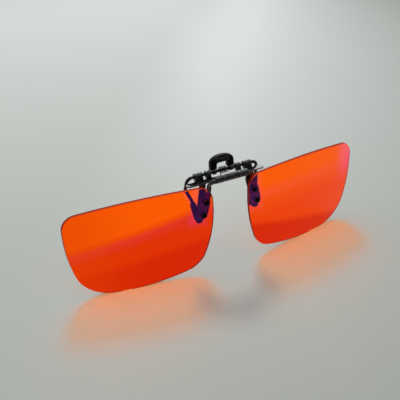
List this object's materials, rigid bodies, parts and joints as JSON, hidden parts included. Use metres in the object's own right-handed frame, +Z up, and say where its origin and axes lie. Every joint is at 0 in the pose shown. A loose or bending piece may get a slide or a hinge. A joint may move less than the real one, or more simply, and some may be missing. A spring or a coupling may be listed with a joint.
{
  "type": "clip-on flip-up glasses",
  "caption": "Rimless amber lenses that flip up on a sprung clip, which grips a pair of spectacles between rubber-sleeved fingers.",
  "frame": {"origin": "middle of the grip, on the mirror plane, between the lower ends of the front and rear pads", "axes": "glasses as worn: +X along the width, to the viewer's right as seen from in front, +Y back towards the wearer, +Z up"},
  "size_m": [0.1388, 0.0129, 0.0499],
  "materials": {
    "amber_lens": "polished, with a thin bluish surface coating",
    "black_metal": "glossy black nickel",
    "wire_metal": "glossy black wire",
    "bright_steel": "bright, unpainted",
    "black_screw": "satin black",
    "black_rubber": "matt",
    "black_plastic": "moulded, ribbed",
    "dark_nylon": "smooth"
  },
  "bodies": {
    "clip": {"clip_body": "black_metal", "front_left_pad": "black_rubber", "front_right_pad": "black_rubber", "flip_hinge_washers": "bright_steel"},
    "lens_pair": {"left_lens": "amber_lens", "right_lens": "amber_lens", "left_lens_bracket": "black_metal", "right_lens_bracket": "black_metal", "left_lens_screws": "black_screw", "right_lens_screws": "black_screw", "left_screw_washers": "dark_nylon", "right_screw_washers": "dark_nylon", "left_lens_bushes": "dark_nylon", "right_lens_bushes": "dark_nylon", "flip_hinge_pin": "bright_steel"},
    "clamp": {"rear_jaw_wire": "wire_metal", "rear_left_pad": "black_rubber", "rear_right_pad": "black_rubber", "thumb_lever": "black_metal", "thumb_grip": "black_plastic", "torsion_spring": "wire_metal"}
  },
  "joints": [
    {"name": "lens_flip", "type": "hinge", "parent": "clip", "child": "lens_pair", "pos_m": [0, -0.00485, 0.0174], "axis": [-1, 0, 0], "range_deg": [0, 90]},
    {"name": "jaw_open", "type": "hinge", "parent": "clip", "child": "clamp", "pos_m": [0, 0.00255, 0.0171], "axis": [1, 0, 0], "range_deg": [0, 25], "stiffness_Nm_per_rad": 0.02, "springref_deg": -57.3, "deforming": ["torsion_spring"]}
  ]
}
